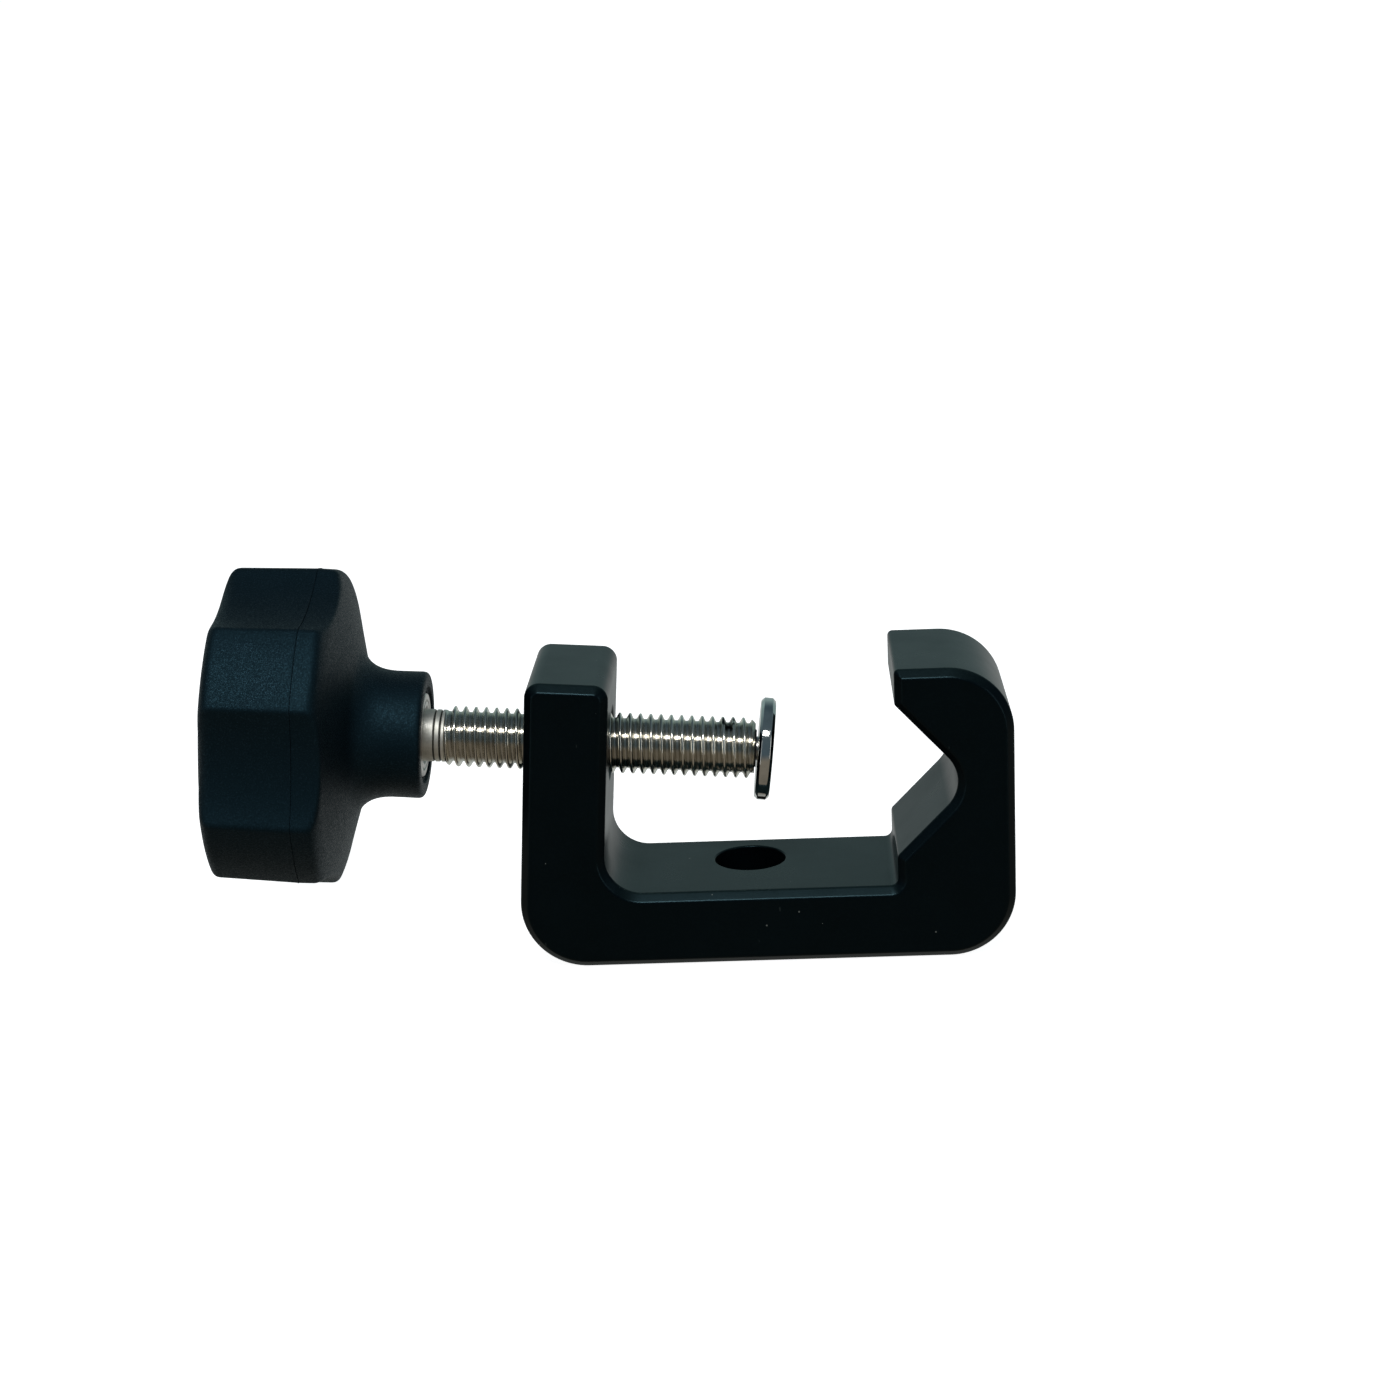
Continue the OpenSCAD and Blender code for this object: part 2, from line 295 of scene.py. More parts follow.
def build_frame():
    half_width = FRAME_WIDTH / 2
    bevel_profile = soft_corners(
        [(0, 0), (0, half_width - BEVEL), (BEVEL, half_width), (BEVEL + 2, half_width)],
        [0, BEVEL_SOFTENING, BEVEL_SOFTENING, 0],
    )[1:-1]
    rings = [(inset, -height) for inset, height in reversed(bevel_profile)] + bevel_profile
    points, faces = [], []
    count = len(outline(0))
    for inset, height in rings:
        points += [(x, y, height) for x, y in outline(inset)]
    for row in range(len(rings) - 1):
        for k in range(count):
            n = (k + 1) % count
            low, high = row * count, (row + 1) * count
            faces.append((low + k, low + n, high + n, high + k))
    faces.append(tuple(reversed(range(count))))
    faces.append(tuple(range((len(rings) - 1) * count, len(rings) * count)))
    body = make_object("frame_body", points, faces, FRAME_SIDE)

    def rounded_mouth(radius, edge, height, rising):
        """Profile points of a cutter's mouth, opening out by edge with a rounded lip."""
        lip = [(radius + edge * (1 - math.cos(a)), height - rising * edge * (1 - math.sin(a)))
               for a in np.radians([0, 15, 30, 45, 60, 72])]
        return lip + [(radius + edge + 1.5, height + rising * 0.42)]

    top = rounded_mouth(HOLE_RADIUS, HOLE_EDGE, FLOOR_THICKNESS, 1)
    bottom = rounded_mouth(HOLE_RADIUS, HOLE_EDGE, 0, -1)
    hole = lathe(
        "hole_cutter",
        [(0, bottom[-1][1])] + list(reversed(bottom)) + top + [(0, top[-1][1])],
        Matrix.Identity(4),
    )
    sink = COUNTERSINK_RADIUS - BORE_RADIUS
    bore = lathe(
        "bore_cutter",
        soft_corners([
            (0, -1), (COUNTERSINK_RADIUS + 1, -1), (BORE_RADIUS, sink),
            (BORE_RADIUS, LEG_THICKNESS - sink), (COUNTERSINK_RADIUS + 1, LEG_THICKNESS + 1),
            (0, LEG_THICKNESS + 1),
        ], [0, 0, 0.2, 0.2, 0, 0]),
        SCREW_FRAME,
    )
    cut(body, [hole, bore])
    soften_shading(body, 35)
    return body


# --- threads -------------------------------------------------------------------------------

def thread_radius(phase, crest, root):
    """Radius across one pitch, with phase 0 at a crest and 0.5 at a root."""
    distance = abs((phase + 0.5) % 1 - 0.5)
    crest_half, root_half = 0.075, 0.12
    flank = min(max((distance - crest_half) / (0.5 - crest_half - root_half), 0), 1)
    eased = flank * flank * (3 - 2 * flank) * 0.35 + flank * 0.65
    return crest + (root - crest) * eased


def helix_shell(first, last, radius_at, columns=96, per_pitch=16):
    """Points and faces of a helical skin whose rows follow the thread, clamped to first..last."""
    turns = math.ceil((last - first) / THREAD_PITCH) + 2
    rows = turns * per_pitch
    points, faces = [], []
    for row in range(rows + 1):
        for column in range(columns):
            phase = row / per_pitch + column / columns
            z = first + (phase - 1) * THREAD_PITCH
            a = 2 * math.pi * column / columns
            clamped = min(max(z, first), last)
            radius = radius_at(clamped, a)
            points.append((radius * math.cos(a), radius * math.sin(a), clamped))
    for row in range(rows + 1):
        for column in range(columns):
            wraps = column == columns - 1
            right_row = row + (per_pitch if wraps else 0)
            right = 0 if wraps else column + 1
            if row < rows and right_row < rows:
                faces.append((row * columns + column, right_row * columns + right,
                              (right_row + 1) * columns + right, (row + 1) * columns + column))
    return points, faces


def close_ends(obj, ends):
    """Merges the collapsed rows at the ends of a helical skin and caps the open loops."""
    shell = bmesh.new()
    shell.from_mesh(obj.data)
    bmesh.ops.remove_doubles(shell, verts=shell.verts, dist=0.004 * MM)
    bmesh.ops.dissolve_degenerate(shell, edges=shell.edges, dist=0.002 * MM)
    for end in ends:
        loop = [e for e in shell.edges if e.is_boundary
                and all(abs(v.co.z - end * MM) < 0.01 * MM for v in e.verts)]
        if loop:
            bmesh.ops.holes_fill(shell, edges=loop, sides=0)
    bmesh.ops.recalc_face_normals(shell, faces=shell.faces)
    shell.to_mesh(obj.data)
    shell.free()


def build_spindle():
    run_out = 1.1
    step_radius = 3.9

    def radius_at(z, a):
        phase = (z - THREAD_START) / THREAD_PITCH - a / (2 * math.pi)
        radius = thread_radius(phase, CREST_RADIUS, ROOT_RADIUS)
        fade = min(max((z - SHANK_END) / run_out, 0), 1)
        radius = step_radius + (radius - step_radius) * fade ** 0.7
        tip = CREST_RADIUS - max(z - (SCREW_END - TIP_CHAMFER), 0) * 1.05
        return min(radius, tip)

    points, faces = helix_shell(SHANK_END, SCREW_END, radius_at)
    thread = make_object("spindle_thread", points, faces, SCREW_FRAME)
    close_ends(thread, [SHANK_END, SCREW_END])
    soften_shading(thread, 60)
    buried_end = HUB_END - BUSH_DEPTH - 0.8
    mouth_half, floor_half = 0.16, 0.09
    profile = [(0, buried_end), (SHANK_RADIUS, buried_end)]
    for centre, depth in SHANK_GROOVES:
        profile += [(SHANK_RADIUS, centre - mouth_half), (SHANK_RADIUS - depth, centre - floor_half),
                    (SHANK_RADIUS - depth, centre + floor_half), (SHANK_RADIUS, centre + mouth_half)]
    profile += [(SHANK_RADIUS, SHANK_END + 0.1), (step_radius - 0.3, SHANK_END + 0.3),
                (0, SHANK_END + 0.3)]
    shank = lathe("spindle_shank", soft_corners(profile, 0.05), SCREW_FRAME)
    soften_shading(shank)
    return thread, shank


def build_bore_thread():
    """The thread in the leg's bore, which the spindle's thread runs in with a small gap."""
    sink = COUNTERSINK_RADIUS - BORE_RADIUS
    first, last = SHANK_RELIEF, LEG_THICKNESS - 0.35 * sink
    outer = BORE_RADIUS + 0.4

    def radius_at(z, a):
        phase = (z - THREAD_START) / THREAD_PITCH - a / (2 * math.pi)
        inner = thread_radius(phase, CREST_RADIUS, ROOT_RADIUS) + THREAD_CLEARANCE
        mouth = COUNTERSINK_RADIUS - 0.02 - (LEG_THICKNESS - z)
        lead_in = BORE_RADIUS + 0.02 - 1.2 * (z - first)
        return max(inner, lead_in, min(mouth, outer - 0.02))

    points, faces = helix_shell(first, last, radius_at)
    thread = make_object("frame_thread", points, faces, SCREW_FRAME)
    soften_shading(thread, 60)
    return thread


# --- knob ----------------------------------------------------------------------------------

def smooth_min(a, b, blend):
    h = np.clip(0.5 + 0.5 * (b - a) / blend, 0, 1)
    return b + (a - b) * h - blend * h * (1 - h)


def circle_reach(distance, radius, angle, far):
    """Distance from the axis to a circle whose centre lies at distance, on its far or near side."""
    inside = np.sqrt(np.maximum(radius ** 2 - (distance * np.sin(angle)) ** 2, 0))
    return distance * np.cos(angle) + (inside if far else -inside)


def lobe_radius(a):
    """Distance of the knob's side from its axis, at angle a from the upward direction."""
    pitch = 2 * math.pi / LOBES
    from_lobe = (a - LOBE_ANGLE + pitch / 2) % pitch - pitch / 2
    from_valley = (a - LOBE_ANGLE) % pitch - pitch / 2
    facet = circle_reach(RIDGE_RADIUS - FACET_CURVE, FACET_CURVE, from_lobe, True)
    valley = circle_reach(VALLEY_CENTRE, VALLEY_CURVE, from_valley, False)
    # More than 30 degrees from the valley's middle, only the facet counts
    valley = np.where(np.abs(from_valley) > math.radians(30), 99, valley)
    return smooth_min(facet, valley, 0.32)


def bezier(start, control, end, steps):
    t = np.linspace(0, 1, steps + 1)[:, None]
    return (1 - t) ** 2 * np.array(start) + 2 * t * (1 - t) * np.array(control) + t ** 2 * np.array(end)


def knob_profile():
    """(radius, height) points of the turned shape, before the valleys are cut, hub to crown."""
    pocket = BUSH_RADIUS + 0.01
    profile = [(0, 21.6), (pocket, 21.6), (pocket, 1.6), (6.92, 1.6), (6.92, 0.55), (7.4, 0.5),
               (7.5, 0.4), (7.5, 0.18), (7.56, 0.06), (7.68, 0.0), (8.7, 0.0)]
    profile += [tuple(p) for p in bezier((8.85, 0), (HUB_RADIUS, 0), (HUB_RADIUS, 0.95), 6)]
    profile += [(9.78, 3.0), (9.77, 5.0)]
    profile += [tuple(p) for p in bezier((9.8, 5.4), (10.0, 9.3), (12.9, 10.4), 14)]
    profile += [tuple(p) for p in bezier((13.6, 10.6), (18.4, 11.9), (21.4, 12.65), 12)]
    profile += [tuple(p) for p in bezier((21.7, 12.72), (24.8, 13.4), (26.4, 15.2), 24)]
    for height in (-0.35, -0.05, -0.02, 0.03, 0.07, 0.3):
        profile.append((RIDGE_RADIUS + 2, PARTING_HEIGHT + height))
    profile += [(RIDGE_RADIUS + 2, 21.0), (RIDGE_RADIUS + 2, 25.0)]
    profile += [tuple(p) for p in bezier((26.9, 28.5), (24.9, 30.9), (21.0, CROWN_EDGE_HEIGHT), 26)]
    rise = KNOB_LENGTH - CROWN_EDGE_HEIGHT
    profile += [(r, KNOB_LENGTH - rise * (r / 21.0) ** 2) for r in np.linspace(19.5, 0, 12)]
    return profile


def side_draft(height):
    """How much smaller the knob's side is at that height than at the parting line."""
    slope = np.where(height > PARTING_HEIGHT, (height - PARTING_HEIGHT) * 0.03,
                     (PARTING_HEIGHT - height) * 0.02)
    into_corner = np.clip(height - (CROWN_EDGE_HEIGHT - CROWN_CORNER), 0, CROWN_CORNER)
    return slope + CROWN_CORNER - np.sqrt(CROWN_CORNER ** 2 - into_corner ** 2)


def build_knob(columns=480):
    profile = np.array(knob_profile())
    radii, heights = profile[:, 0], profile[:, 1]
    # The halves of the mould meet in a fine groove with a small step
    relief = np.interp(heights - PARTING_HEIGHT,
                       [-0.05, -0.02, 0.03, 0.07, 0.3], [0, -0.12, -0.12, 0.07, 0])
    rows = len(profile)
    points, faces = [], []
    for column in range(columns):
        a = 2 * math.pi * column / columns
        side = float(lobe_radius(a)) - side_draft(heights) + relief
        cut_radii = np.where(radii > 15, smooth_min(radii, side, 1.2), radii)
        for radius, height in zip(cut_radii, heights):
            points.append((radius * math.cos(a), radius * math.sin(a), HUB_END - height))
    for column in range(columns):
        following = (column + 1) % columns
        for row in range(rows - 1):
            faces.append((column * rows + row, column * rows + row + 1,
                          following * rows + row + 1, following * rows + row))
    knob = make_object("knob_grip", points, faces, SCREW_FRAME)
    shell = bmesh.new()
    shell.from_mesh(knob.data)
    bmesh.ops.remove_doubles(shell, verts=shell.verts, dist=0.001 * MM)
    bmesh.ops.recalc_face_normals(shell, faces=shell.faces)
    shell.to_mesh(knob.data)
    shell.free()
    soften_shading(knob, 50)
    return knob


def build_bush():
    inner = SHANK_RADIUS + 0.03
    flange = BUSH_FLANGE_RADIUS
    flange_back = HUB_END - 1.6
    face = HUB_END - 0.18
    groove = 5.35
    profile = [
        (inner, HUB_END - BUSH_DEPTH), (BUSH_RADIUS, HUB_END - BUSH_DEPTH), (BUSH_RADIUS, flange_back),
        (flange, flange_back), (flange, face - 0.2), (flange - 0.2, face), (groove + 0.18, face),
        (groove + 0.1, face - 0.3), (groove - 0.1, face - 0.3), (groove - 0.18, face),
        (SHANK_RADIUS + 0.5, face), (SHANK_RADIUS + 0.25, face - 0.45), (inner, face - 0.5),
    ]
    softening = [0] + [0.08] * (len(profile) - 2) + [0]
    bush = lathe("bush_flange", soft_corners(profile, softening), SCREW_FRAME)
    soften_shading(bush)
    return bush


# --- pad -----------------------------------------------------------------------------------

def build_pad():
    back = PAD_FRONT - PAD_THICKNESS
    chamfer = 0.5
    pad = lathe(
        "pad_disc",
        soft_corners([
            (PAD_HOLE_RADIUS, back), (PAD_RADIUS - chamfer, back), (PAD_RADIUS, back + chamfer),
            (PAD_RADIUS, PAD_FRONT - chamfer), (PAD_RADIUS - chamfer, PAD_FRONT), (3.5, PAD_FRONT),
            (3.44, PAD_FRONT - HEAD_SUNK), (PAD_HOLE_RADIUS, PAD_FRONT - HEAD_SEAT_DEPTH),
        ], [0, 0.12, 0.12, 0.12, 0.12, 0.1, 0.05, 0]),
        SCREW_FRAME, 192,
    )
    soften_shading(pad)
    # The pad hangs a little askew on its screw
    middle = Matrix.Translation((0, 0, (back + PAD_FRONT) / 2 * MM))
    pad.matrix_world = SCREW_FRAME @ middle @ Matrix.Rotation(PAD_TILT, 4, "Y") @ middle.inverted()
    return pad


def build_washer():
    inner, outer = 2.02, 2.9
    back, front = SCREW_END + 0.01, SCREW_END + 0.2
    washer = lathe(
        "washer_ring",
        soft_corners([(inner, back), (outer, back), (outer, front), (inner, front)],
                     [0, 0.06, 0.06, 0]),
        SCREW_FRAME,
    )
    soften_shading(washer)
    return washer


def build_pad_screw():
    head_top = PAD_FRONT - HEAD_SUNK
    core, buried_end = 1.1, SCREW_END - 5
    screw = lathe(
        "pad_screw_head",
        soft_corners([
            (0, buried_end), (core, buried_end), (core, SCREW_END), (PAD_SCREW_NECK, SCREW_END),
            (PAD_SCREW_NECK, PAD_FRONT - HEAD_SEAT_DEPTH), (3.0, head_top - 0.12),
            (2.95, head_top), (0, head_top),
        ], [0, 0.1, 0.05, 0.05, 0.05, 0.08, 0.08, 0]),
        SCREW_FRAME,
    )
    half_gap, half_length = 0.4, 4.0
    depths = (head_top - 0.7, head_top + 1)
    corners = [(x * half_gap, y * half_length, z) for z in depths for x, y in
               ((-1, -1), (1, -1), (1, 1), (-1, 1))]
    sides = [(k, (k + 1) % 4, (k + 1) % 4 + 4, k + 4) for k in range(4)]
    blade = make_object("slot_cutter", corners, [(3, 2, 1, 0), (4, 5, 6, 7)] + sides, SCREW_FRAME)
    cut(screw, [blade])
    soften_shading(screw)
    return screw


# --- materials -----------------------------------------------------------------------------

class Shader:
    """A material whose nodes are added one by one and joined by name."""

    def __init__(self, name, **constants):
        self.material = bpy.data.materials.new(name)
        self.material.use_nodes = True
        self.tree = self.material.node_tree
        self.tree.nodes.clear()
        self.output = self.add("ShaderNodeOutputMaterial")
        self.surface = self.add("ShaderNodeBsdfPrincipled")
        for socket, value in constants.items():
            self.surface.inputs[socket.replace("_", " ")].default_value = value
        self.join(self.surface, "BSDF", self.output, "Surface")
        self.coordinates = self.add("ShaderNodeTexCoord")

    def add(self, kind, **properties):
        node = self.tree.nodes.new(kind)
        for key, value in properties.items():
            setattr(node, key, value)
        return node

    def join(self, a, output, b, socket):
        self.tree.links.new(a.outputs[output], b.inputs[socket])

    def stretched(self, scale):
        """Object coordinates scaled along each axis."""
        mapping = self.add("ShaderNodeMapping")
        mapping.inputs["Scale"].default_value = scale
        self.join(self.coordinates, "Object", mapping, "Vector")
        return mapping, "Vector"

    def noise(self, scale, detail=2, roughness=0.5, vector=None):
        texture = self.add("ShaderNodeTexNoise")
        texture.inputs["Scale"].default_value = scale
        texture.inputs["Detail"].default_value = detail
        texture.inputs["Roughness"].default_value = roughness
        node, socket = vector or (self.coordinates, "Object")
        self.join(node, socket, texture, "Vector")
        return texture, "Fac"

    def remap(self, source, low, high, out_low=0.0, out_high=1.0):
        node = self.add("ShaderNodeMapRange")
        for socket, value in zip(("From Min", "From Max", "To Min", "To Max"),
                                 (low, high, out_low, out_high)):
            node.inputs[socket].default_value = value
        self.join(source[0], source[1], node, "Value")
        return node, "Result"

    def math(self, operation, a, b=None):
        node = self.add("ShaderNodeMath", operation=operation)
        for k, value in enumerate((a, b)):
            if isinstance(value, tuple):
                self.tree.links.new(value[0].outputs[value[1]], node.inputs[k])
            elif value is not None:
                node.inputs[k].default_value = value
        return node, "Value"

    def blend(self, factor, a, b):
        """Mixes two colours; a may be an earlier mix."""
        node = self.add("ShaderNodeMix", data_type="RGBA")
        self.tree.links.new(factor[0].outputs[factor[1]], node.inputs["Factor"])
        for socket, value in ((6, a), (7, b)):
            if isinstance(value[0], bpy.types.Node):
                self.tree.links.new(value[0].outputs[value[1]], node.inputs[socket])
            else:
                node.inputs[socket].default_value = (*value, 1)
        return node, 2

    def specks(self, cell, size, share):
        """Small round specks, one in some of the cells of the given size."""
        cells = self.add("ShaderNodeTexVoronoi")
        cells.inputs["Scale"].default_value = 1 / (cell * MM)
        self.join(self.coordinates, "Object", cells, "Vector")
        chosen = self.add("ShaderNodeSeparateColor")
        self.join(cells, "Color", chosen, "Color")
        near = self.math("LESS_THAN", (cells, "Distance"), size / cell)
        picked = self.math("LESS_THAN", (chosen, "Red"), share)
        return self.math("MULTIPLY", near, picked)

    def scratches(self, scale, threshold):
        stretched = self.stretched(scale)
        lines = self.noise(1.0, 1, 0.4, stretched)
        return self.remap(lines, threshold, threshold + 0.02)

    def facing_up(self, low, high):
        geometry = self.add("ShaderNodeNewGeometry")
        parts = self.add("ShaderNodeSeparateXYZ")
        self.join(geometry, "Normal", parts, "Vector")
        return self.remap((parts, "Z"), low, high)

    def bump(self, height, distance, strength=1.0, under=None):
        node = self.add("ShaderNodeBump")
        node.inputs["Distance"].default_value = distance * MM
        node.inputs["Strength"].default_value = strength
        self.join(height[0], height[1], node, "Height")
        if under:
            self.join(under[0], under[1], node, "Normal")
        return node, "Normal"

    def feed(self, source, socket):
        self.join(source[0], source[1], self.surface, socket)


def anodised_black():
    """Black matt oxide with a bluish sheen, with painted light that makes the faces that look up paler,
    and a few specks.
    """
    shader = Shader("anodised_black", Specular_IOR_Level=0.2, Specular_Tint=(0.45, 0.85, 1.0, 1))
    cloud = shader.noise(120, 4, 0.6)
    grain = shader.noise(3200, 3, 0.65)
    colour = shader.blend(shader.remap(cloud, 0.3, 0.7),
                          (0.0004, 0.0013, 0.0022), (0.0009, 0.0022, 0.0034))
    colour = shader.blend(shader.remap(grain, 0.5, 0.8, 0, 0.25), colour, (0.006, 0.012, 0.015))
    # Painted light: the faces that look up get a paler colour, as if lit from above.
    painted_top_light = shader.math("MULTIPLY", shader.facing_up(0.5, 0.98), shader.remap(grain, 0.25, 0.75, 0.5, 1.0))
    colour = shader.blend(painted_top_light, colour, (0.013, 0.025, 0.025))
    wear = shader.scratches((1500, 380, 700), 0.80)
    colour = shader.blend(shader.math("MULTIPLY", wear, 0.4), colour, (0.05, 0.06, 0.06))
    colour = shader.blend(shader.specks(4.2, 0.13, 0.35), colour, (0.15, 0.16, 0.15))
    shader.feed(colour, "Base Color")
    shader.feed(shader.remap(cloud, 0.25, 0.75, 0.26, 0.33), "Roughness")
    fine = shader.bump(grain, 0.010, 0.5)
    shader.feed(shader.bump(cloud, 0.01, 0.3, fine), "Normal")
    return shader.material


def knob_plastic():
    """Black moulded plastic with a fine grain that sparkles through its roughness and bump, and paler
    grain flecks in its colour that are painted glints.
    """
    shader = Shader("knob_plastic", Specular_IOR_Level=0.34, Specular_Tint=(0.30, 0.75, 1.0, 1))
    grain = shader.noise(4200, 3, 0.75)
    cloud = shader.noise(150, 3, 0.6)
    colour = shader.blend(shader.remap(cloud, 0.3, 0.7),
                          (0.0005, 0.0018, 0.0032), (0.0011, 0.0030, 0.0050))
    # Painted glints: pale bluish flecks in the colour stand in for the sparkle of the grain.
    colour = shader.blend(shader.remap(grain, 0.52, 0.68, 0, 0.9), colour, (0.008, 0.018, 0.026))
    colour = shader.blend(shader.specks(7.0, 0.10, 0.2), colour, (0.10, 0.11, 0.12))
    shader.feed(colour, "Base Color")
    shader.feed(shader.remap(grain, 0.42, 0.64, 0.66, 0.36), "Roughness")
    shader.feed(shader.bump(grain, 0.06, 1.0), "Normal")
    return shader.material


def turned_metal(name, colour_low, colour_high, roughness, ring_scale, ring_depth, hollow_shade_and_dirt=None):
    """Bright turned or ground metal with fine rings round the screw's axis.

    The last argument, if given, is (share, tint, low, high): painted shade of that share in the hollows
    up to the radius low, gone at high, together with a dark clump of dirt at GRIME_PLACE.
    """
    shader = Shader(name, Metallic=1.0)
    rings = shader.noise(1.0, 2, 0.5, shader.stretched((60, 60, ring_scale)))
    stain = shader.noise(420, 4, 0.6)
    colour = shader.blend(shader.remap(stain, 0.35, 0.7), colour_high, colour_low)
    if hollow_shade_and_dirt:
        parts = shader.add("ShaderNodeSeparateXYZ")
        shader.join(shader.coordinates, "Object", parts, "Vector")
        squares = [shader.math("MULTIPLY", (parts, axis), (parts, axis)) for axis in ("X", "Y")]
        radius = shader.math("SQRT", shader.math("ADD", *squares))
        # Painted shade: the colour darkens towards the thread roots and groove floors, below the radius
        # low.
        share, tint, low, high = hollow_shade_and_dirt
        depth = shader.remap(radius, low * MM, high * MM, share, 0.0)
        colour = shader.blend(depth, colour, tint)
        offset = shader.add("ShaderNodeVectorMath", operation="DISTANCE")
        shader.join(shader.coordinates, "Object", offset, 0)
        offset.inputs[1].default_value = [c * MM for c in GRIME_PLACE]
        near = shader.remap((offset, "Value"), 1.1 * MM, 1.9 * MM, 1.0, 0.0)
        clumps = shader.math("MULTIPLY", near, shader.remap(shader.noise(1500, 2, 0.5), 0.40, 0.46))
        colour = shader.blend(clumps, colour, (0.004, 0.004, 0.004))
    shader.feed(colour, "Base Color")
    shader.feed(shader.remap(stain, 0.3, 0.75, roughness[0], roughness[1]), "Roughness")
    shader.feed(shader.bump(rings, ring_depth, 0.5), "Normal")
    return shader.material


def washer_plastic():
    shader = Shader("washer_plastic", Specular_IOR_Level=0.5, Roughness=0.45)
    grain = shader.noise(4000, 2, 0.5)
    colour = shader.blend(shader.remap(grain, 0.3, 0.7), (0.008, 0.008, 0.008), (0.02, 0.02, 0.02))
    shader.feed(colour, "Base Color")
    shader.feed(shader.bump(grain, 0.01, 0.5), "Normal")
    return shader.material


# --- assembly ------------------------------------------------------------------------------

thread, shank = build_spindle()
# (object, body, CAD nodes it replaces, slot, material)
PIECES = [
    (build_frame(), "frame", ["clamp_frame"], "anodised_black", "anodised_black"),
    (build_bore_thread(), "frame", [], "anodised_black", "anodised_black"),
    (thread, "screw", ["spindle"], "spindle_steel", "spindle_steel"),
    (shank, "screw", [], "spindle_steel", "shank_steel"),
    (build_knob(), "screw", ["knob_body"], "knob_plastic", "knob_plastic"),
    (build_bush(), "screw", ["knob_bush"], "bush_metal", "bush_metal"),
    (build_washer(), "screw", ["pad_washer"], "washer_plastic", "washer_plastic"),
    (build_pad_screw(), "screw", ["pad_screw"], "pad_screw_steel", "pad_screw_steel"),
    (build_pad(), "pad", ["pressure_pad"], "pad_chrome", "pad_chrome"),
]
MATERIALS = {
    "anodised_black": anodised_black(),
    "knob_plastic": knob_plastic(),
    "spindle_steel": turned_metal(
        "spindle_steel", (0.60, 0.57, 0.50), (0.88, 0.86, 0.78), (0.14, 0.24), 6000, 0.001,
        # Painted shade in the thread roots, darker towards the root radius
        (0.4, (0.10, 0.095, 0.08), ROOT_RADIUS - 0.02, ROOT_RADIUS + 0.3)),
    "shank_steel": turned_metal(
        "shank_steel", (0.66, 0.65, 0.58), (0.95, 0.94, 0.87), (0.50, 0.62), 5000, 0.012,
        # Painted shade on the floors of the shank's grooves, nearly black
        (0.95, (0.03, 0.03, 0.025), SHANK_RADIUS - 0.2, SHANK_RADIUS - 0.05)),
    "bush_metal": turned_metal(
        "bush_metal", (0.30, 0.28, 0.27), (0.66, 0.64, 0.60), (0.28, 0.42), 1500, 0.004),
    "pad_chrome": turned_metal(
        "pad_chrome", (0.62, 0.63, 0.61), (0.76, 0.77, 0.75), (0.04, 0.10), 3000, 0.0004),
    "washer_plastic": washer_plastic(),
    "pad_screw_steel": turned_metal(
        "pad_screw_steel", (0.45, 0.44, 0.42), (0.62, 0.61, 0.58), (0.2, 0.35), 2000, 0.002),
}
for piece, body, nodes, slot, material in PIECES:
    piece.data.materials.clear()
    piece.data.materials.append(MATERIALS[material])
    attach(piece, body)
    if nodes:
        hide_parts(*nodes)


# --- studio --------------------------------------------------------------------------------

def pale_floor():
    half_size = 30.0 / MM
    gap_below = 0.0002
    corners = [(x * half_size, y * half_size, 0) for x, y in ((-1, -1), (1, -1), (1, 1), (-1, 1))]
    floor = make_object(
        "floor", corners, [(0, 1, 2, 3)], Matrix.Translation((0, 0, cad_box[0].z - gap_below)),
    )
    shader = Shader("pale_floor", Roughness=0.9, Specular_IOR_Level=0.1)
    tone = shader.noise(3, 2, 0.5)
    colour = shader.blend(shader.remap(tone, 0.3, 0.7), (0.80, 0.80, 0.80), (0.84, 0.84, 0.84))
    shader.feed(colour, "Base Color")
    shader.surface.inputs["Emission Color"].default_value = (1, 1, 1, 1)
    shader.surface.inputs["Emission Strength"].default_value = 0.95
    floor.data.materials.append(shader.material)
    # Only the camera sees the floor, so that its light doesn't fill the dark faces
    floor.visible_diffuse = False
    floor.visible_glossy = False


def soft_light(name, aim, azimuth, elevation, distance, size, watts, colour=(1, 1, 1)):
    """An area light that looks at aim; azimuth 0 is in front of the object, on the camera's side."""
    data = bpy.data.lights.new(name, "AREA")
    data.shape = "RECTANGLE"
    data.size, data.size_y = size
    data.energy = watts
    data.color = colour
    light = bpy.data.objects.new(name, data)
    bpy.context.scene.collection.objects.link(light)
    a, e = math.radians(azimuth), math.radians(elevation)
    out = Vector((math.sin(a) * math.cos(e), -math.cos(a) * math.cos(e), math.sin(e)))
    light.location = aim + out * distance
    light.rotation_euler = out.to_track_quat("Z", "Y").to_euler()


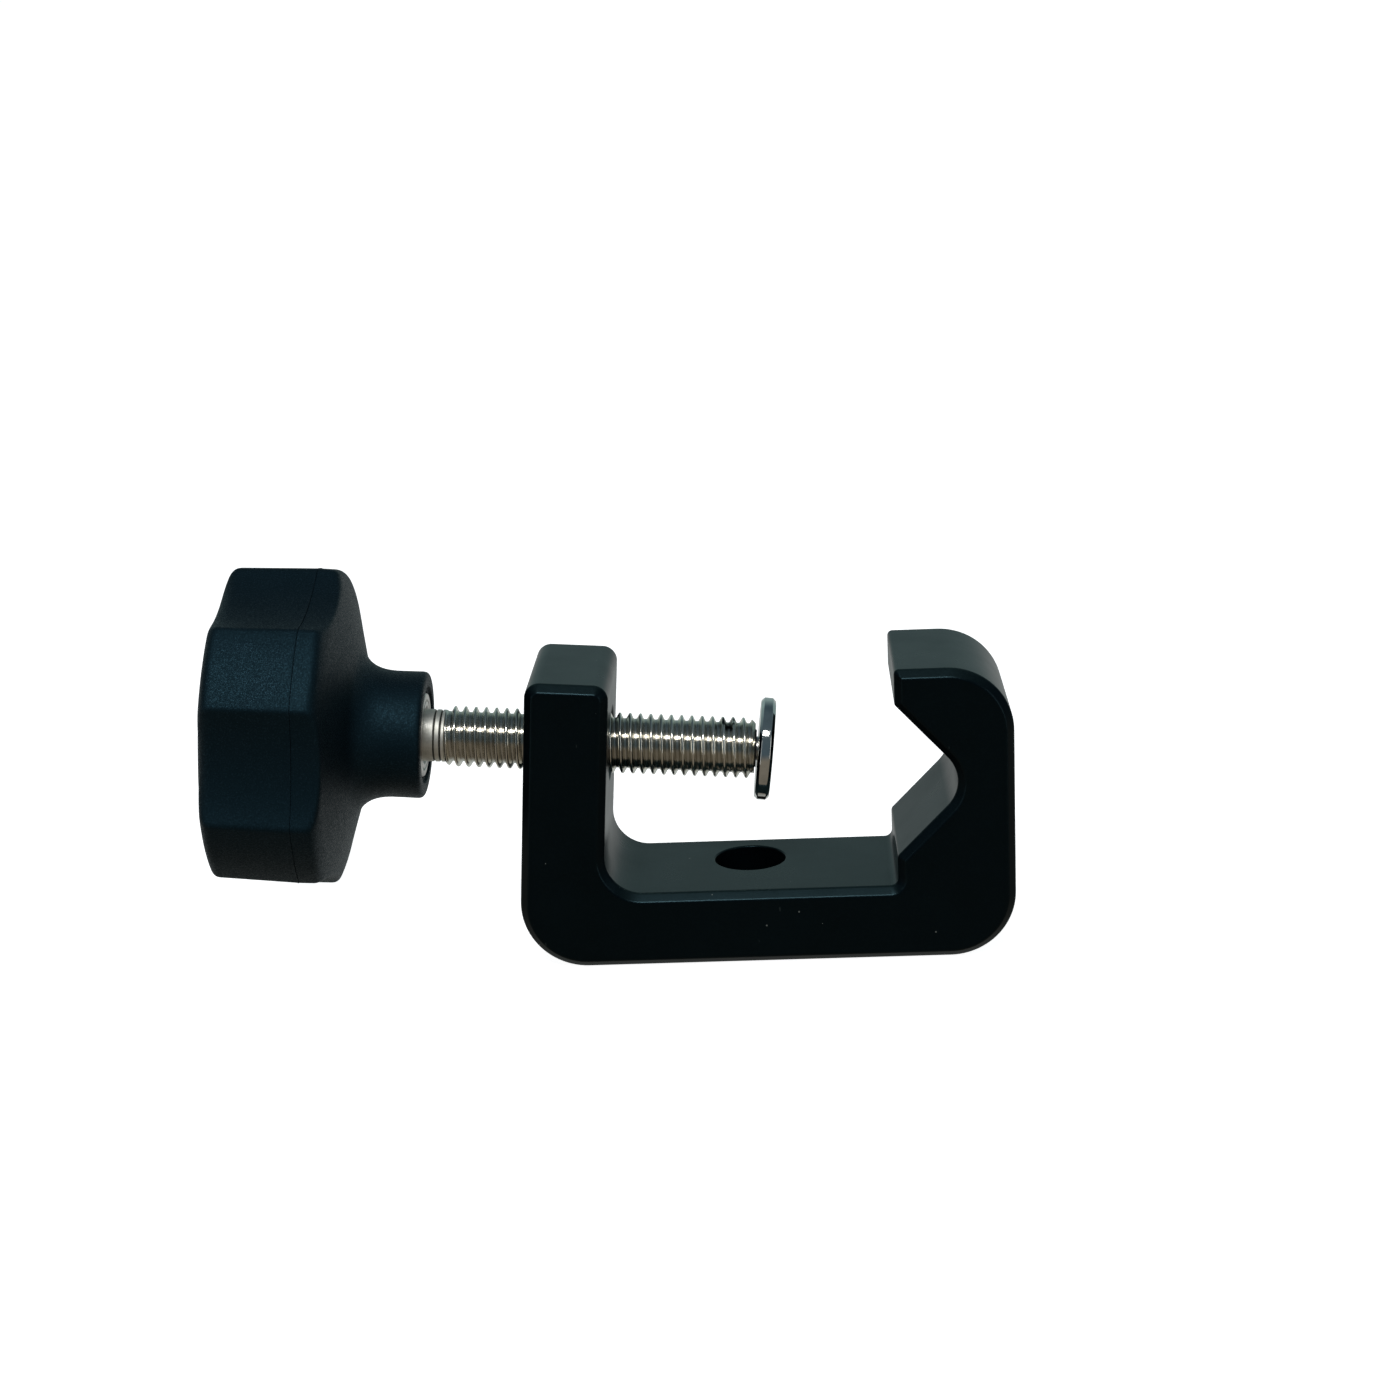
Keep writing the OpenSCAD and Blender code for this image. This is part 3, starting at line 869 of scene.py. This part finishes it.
def studio_world():
    """White to the camera, like the floor; to the object, dim in front and paler behind."""
    world = bpy.data.worlds.new("studio")
    world.use_nodes = True
    nodes, links = world.node_tree.nodes, world.node_tree.links

    def rise(source, low, high):
        node = nodes.new("ShaderNodeMapRange")
        node.interpolation_type = "SMOOTHSTEP"
        node.inputs["From Min"].default_value = low
        node.inputs["From Max"].default_value = high
        links.new(source, node.inputs["Value"])
        return node.outputs["Result"]

    def mixed(factor, a, b):
        node = nodes.new("ShaderNodeMix")
        node.data_type = "RGBA"
        links.new(factor, node.inputs["Factor"])
        for socket, value in ((6, a), (7, b)):
            if isinstance(value, tuple):
                node.inputs[socket].default_value = (*value, 1)
            else:
                links.new(value, node.inputs[socket])
        return node.outputs[2]

    direction = nodes.new("ShaderNodeTexCoord").outputs["Generated"]
    parts = nodes.new("ShaderNodeSeparateXYZ")
    links.new(direction, parts.inputs["Vector"])
    height, depth = parts.outputs["Z"], parts.outputs["Y"]
    front = mixed(rise(height, -0.25, 0.1), (0.18, 0.16, 0.13), (0.07, 0.10, 0.12))
    back = mixed(rise(height, -0.10, 0.12), (0.50, 0.53, 0.52), (0.24, 0.33, 0.33))
    back = mixed(rise(height, 0.3, 0.85), back, (0.05, 0.08, 0.10))
    dim = nodes["Background"]
    links.new(mixed(rise(depth, 0.1, 0.7), front, back), dim.inputs["Color"])
    white = nodes.new("ShaderNodeBackground")
    white.inputs["Color"].default_value = (1, 1, 1, 1)
    rays = nodes.new("ShaderNodeLightPath")
    mix = nodes.new("ShaderNodeMixShader")
    links.new(rays.outputs["Is Camera Ray"], mix.inputs["Fac"])
    links.new(dim.outputs["Background"], mix.inputs[1])
    links.new(white.outputs["Background"], mix.inputs[2])
    links.new(mix.outputs["Shader"], nodes["World Output"].inputs["Surface"])
    bpy.context.scene.world = world


def make_camera():
    """The camera that was fitted to the photo; its angles are in degrees, its place in metres."""
    azimuth, elevation, roll = map(math.radians, (-2.35745, 16.25323, -2.58529))
    forward = Vector((math.sin(azimuth) * math.cos(elevation), math.cos(azimuth) * math.cos(elevation),
                      -math.sin(elevation)))
    level_right = forward.cross(Vector((0, 0, 1))).normalized()
    level_up = level_right.cross(forward)
    right = level_right * math.cos(roll) + level_up * math.sin(roll)
    camera_up = right.cross(forward)
    data = bpy.data.cameras.new("camera")
    data.lens = 66.5654
    data.sensor_width = 36
    data.clip_start, data.clip_end = 0.01, 50
    camera = bpy.data.objects.new("camera", data)
    bpy.context.scene.collection.objects.link(camera)
    place = Matrix((right, camera_up, -forward)).transposed().to_4x4()
    place.translation = Vector((0.009007, -0.384067, 0.149751))
    camera.matrix_world = place
    bpy.context.scene.camera = camera


centre = (cad_box[0] + cad_box[1]) / 2
pale_floor()
soft_light("key", centre, -5, 52, 0.9, (0.40, 0.16), 4.0)
soft_light("left_strip", centre, -58, 8, 0.9, (0.16, 0.7), 0.5)
soft_light("right_strip", centre, 58, 8, 0.9, (0.16, 0.7), 0.7)
studio_world()
make_camera()
bpy.context.scene.view_settings.view_transform = "Standard"
